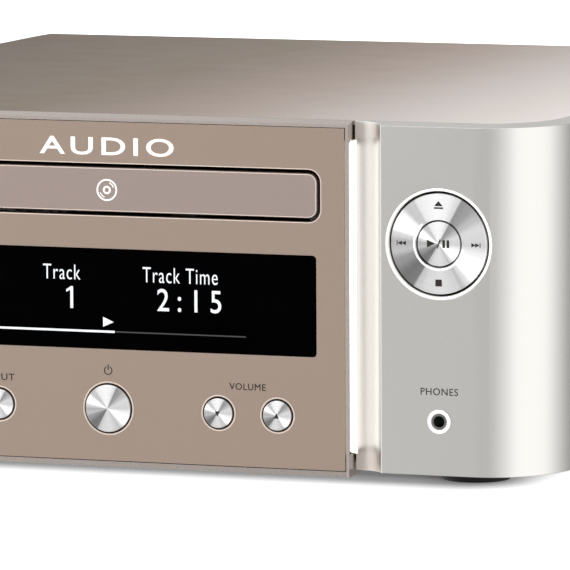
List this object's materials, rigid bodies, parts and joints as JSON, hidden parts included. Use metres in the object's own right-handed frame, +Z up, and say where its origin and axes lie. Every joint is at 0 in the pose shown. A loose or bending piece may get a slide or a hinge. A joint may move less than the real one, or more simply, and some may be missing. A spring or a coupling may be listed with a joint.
{
  "type": "cd player",
  "caption": "Compact CD receiver with a champagne centre panel, slot tray door, black display, round buttons and curved silver wings with four-way dials.",
  "frame": {"origin": "centre of the footprint at the underside of the feet", "axes": "+X to the right seen from the front, -Y towards the listener, +Z up"},
  "size_m": [0.277, 0.303, 0.111],
  "materials": {
    "wing_aluminium": "satin",
    "frame_aluminium": "polished",
    "champagne": "satin",
    "door_champagne": "satin",
    "top_gloss": "gloss",
    "case_steel": "satin",
    "chassis_steel": "plain",
    "black_glass": "gloss",
    "light_guide": "lit",
    "button_metal": "spun",
    "black_plastic": "matte",
    "grey_plastic": "matte",
    "white_plastic": "satin",
    "board": "satin",
    "steel": "plain",
    "copper_coil": "satin",
    "dark_aluminium": "matte",
    "gold": "polished",
    "rubber": "matte"
  },
  "bodies": {
    "case": {"top_plate": "top_gloss", "left_side_cover": "case_steel", "right_side_cover": "case_steel", "bottom_chassis": "chassis_steel", "rear_panel": "case_steel", "foot_front_left": "rubber", "foot_front_right": "rubber", "foot_rear_left": "rubber", "foot_rear_right": "rubber", "left_wing": "wing_aluminium", "right_wing": "wing_aluminium", "centre_frame": "frame_aluminium", "centre_panel": "champagne", "left_light_guide": "light_guide", "right_light_guide": "light_guide", "display_window": "black_glass", "display_module": "black_plastic", "headphone_jack": "steel", "usb_port": "steel", "loader_chassis": "grey_plastic", "drive_belt": "rubber", "loading_motor": "steel", "clamp_bridge": "steel", "spindle_motor": "steel", "guide_rod_left": "steel", "guide_rod_right": "steel", "front_board": "board", "main_board": "board", "power_board": "board", "transformer": "steel", "heatsink": "dark_aluminium", "ac_inlet": "black_plastic", "speaker_terminals": "black_plastic", "audio_jacks": "black_plastic", "network_jack": "steel", "antenna_jack": "gold"},
    "tray": {"tray_door": "door_champagne", "disc_tray": "black_plastic"},
    "tray_drive_gear": {"tray_drive_gear": "white_plastic"},
    "pulley_gear": {"pulley_gear": "white_plastic"},
    "motor_pulley": {"motor_pulley": "white_plastic"},
    "turntable": {"turntable": "black_plastic"},
    "clamp_puck": {"clamp_puck": "black_plastic"},
    "laser_pickup": {"laser_pickup": "grey_plastic"},
    "sled_gear": {"sled_gear": "white_plastic"},
    "power_button": {"power_button": "button_metal"},
    "input_button": {"input_button": "button_metal"},
    "dimmer_button": {"dimmer_button": "button_metal"},
    "volume_down_button": {"volume_down_button": "button_metal"},
    "volume_up_button": {"volume_up_button": "button_metal"},
    "play_button": {"play_button": "button_metal"},
    "enter_button": {"enter_button": "button_metal"},
    "transport_gimbal": {"transport_gimbal": "grey_plastic"},
    "transport_ring": {"transport_ring": "button_metal"},
    "cursor_gimbal": {"cursor_gimbal": "grey_plastic"},
    "cursor_ring": {"cursor_ring": "button_metal"},
    "terminal_cap_1": {"terminal_cap_1": "gold"},
    "terminal_cap_2": {"terminal_cap_2": "gold"},
    "terminal_cap_3": {"terminal_cap_3": "gold"},
    "terminal_cap_4": {"terminal_cap_4": "gold"}
  },
  "joints": [
    {"name": "tray_slide", "type": "slide", "parent": "case", "child": "tray", "axis": [0, -1, 0], "range_m": [0, 0.132]},
    {"name": "drive_gear_spin", "type": "hinge", "parent": "case", "child": "tray_drive_gear", "pos_m": [-0.044, -0.13, 0.0805], "axis": [0, 0, 1], "range_deg": [0, 631.25]},
    {"name": "pulley_gear_spin", "type": "hinge", "parent": "case", "child": "pulley_gear", "pos_m": [-0.0264, -0.13, 0.077], "axis": [0, 0, 1], "range_deg": [-1681.68, 0]},
    {"name": "motor_pulley_spin", "type": "hinge", "parent": "case", "child": "motor_pulley", "pos_m": [0.006, -0.124, 0.0758], "axis": [0, 0, 1], "range_deg": [-5043.03, 0]},
    {"name": "turntable_spin", "type": "hinge", "parent": "case", "child": "turntable", "pos_m": [0, -0.08, 0.0865], "axis": [0, 0, 1], "continuous": true},
    {"name": "clamp_puck_spin", "type": "hinge", "parent": "case", "child": "clamp_puck", "pos_m": [0, -0.08, 0.0955], "axis": [0, 0, 1], "continuous": true},
    {"name": "sled_slide", "type": "slide", "parent": "case", "child": "laser_pickup", "axis": [0, 1, 0], "range_m": [0, 0.034]},
    {"name": "sled_gear_spin", "type": "hinge", "parent": "case", "child": "sled_gear", "pos_m": [0.03, -0.025, 0.0795], "axis": [0, 0, 1], "range_deg": [-325.68, 0]},
    {"name": "power_button_press", "type": "slide", "parent": "case", "child": "power_button", "axis": [0, 1, 0], "range_m": [0, 0.0006], "stiffness_N_per_m": 2500},
    {"name": "input_button_press", "type": "slide", "parent": "case", "child": "input_button", "axis": [0, 1, 0], "range_m": [0, 0.0006], "stiffness_N_per_m": 2500},
    {"name": "dimmer_button_press", "type": "slide", "parent": "case", "child": "dimmer_button", "axis": [0, 1, 0], "range_m": [0, 0.0006], "stiffness_N_per_m": 2500},
    {"name": "volume_down_button_press", "type": "slide", "parent": "case", "child": "volume_down_button", "axis": [0, 1, 0], "range_m": [0, 0.0006], "stiffness_N_per_m": 2500},
    {"name": "volume_up_button_press", "type": "slide", "parent": "case", "child": "volume_up_button", "axis": [0, 1, 0], "range_m": [0, 0.0006], "stiffness_N_per_m": 2500},
    {"name": "play_button_press", "type": "slide", "parent": "case", "child": "play_button", "axis": [0, 1, 0], "range_m": [0, 0.0006], "stiffness_N_per_m": 2500},
    {"name": "enter_button_press", "type": "slide", "parent": "case", "child": "enter_button", "axis": [0, 1, 0], "range_m": [0, 0.0006], "stiffness_N_per_m": 2500},
    {"name": "transport_gimbal_tilt", "type": "hinge", "parent": "case", "child": "transport_gimbal", "pos_m": [0.1044, -0.14615, 0.0757], "axis": [1, 0, 0], "range_deg": [-2, 2], "stiffness_Nm_per_rad": 0.6},
    {"name": "transport_ring_tilt", "type": "hinge", "parent": "transport_gimbal", "child": "transport_ring", "pos_m": [0.1044, -0.14615, 0.0757], "axis": [0, 0, 1], "range_deg": [-2, 2], "stiffness_Nm_per_rad": 0.5},
    {"name": "cursor_gimbal_tilt", "type": "hinge", "parent": "case", "child": "cursor_gimbal", "pos_m": [-0.1044, -0.14615, 0.0757], "axis": [1, 0, 0], "range_deg": [-2, 2], "stiffness_Nm_per_rad": 0.6},
    {"name": "cursor_ring_tilt", "type": "hinge", "parent": "cursor_gimbal", "child": "cursor_ring", "pos_m": [-0.1044, -0.14615, 0.0757], "axis": [0, 0, 1], "range_deg": [-2, 2], "stiffness_Nm_per_rad": 0.5},
    {"name": "terminal_cap_1_turn", "type": "hinge", "parent": "case", "child": "terminal_cap_1", "pos_m": [-0.058, 0.145, 0.042], "axis": [0, 1, 0], "range_deg": [0, 360]},
    {"name": "terminal_cap_2_turn", "type": "hinge", "parent": "case", "child": "terminal_cap_2", "pos_m": [-0.04, 0.145, 0.042], "axis": [0, 1, 0], "range_deg": [0, 360]},
    {"name": "terminal_cap_3_turn", "type": "hinge", "parent": "case", "child": "terminal_cap_3", "pos_m": [-0.058, 0.145, 0.026], "axis": [0, 1, 0], "range_deg": [0, 360]},
    {"name": "terminal_cap_4_turn", "type": "hinge", "parent": "case", "child": "terminal_cap_4", "pos_m": [-0.04, 0.145, 0.026], "axis": [0, 1, 0], "range_deg": [0, 360]}
  ],
  "couplings": [
    {"joint": "drive_gear_spin", "follows": "tray_slide", "rad_per_m": 83.333},
    {"joint": "pulley_gear_spin", "follows": "tray_slide", "rad_per_m": -222.22},
    {"joint": "motor_pulley_spin", "follows": "tray_slide", "rad_per_m": -666.67},
    {"joint": "clamp_puck_spin", "follows": "turntable_spin", "ratio": 1},
    {"joint": "sled_gear_spin", "follows": "sled_slide", "rad_per_m": -166.67}
  ]
}
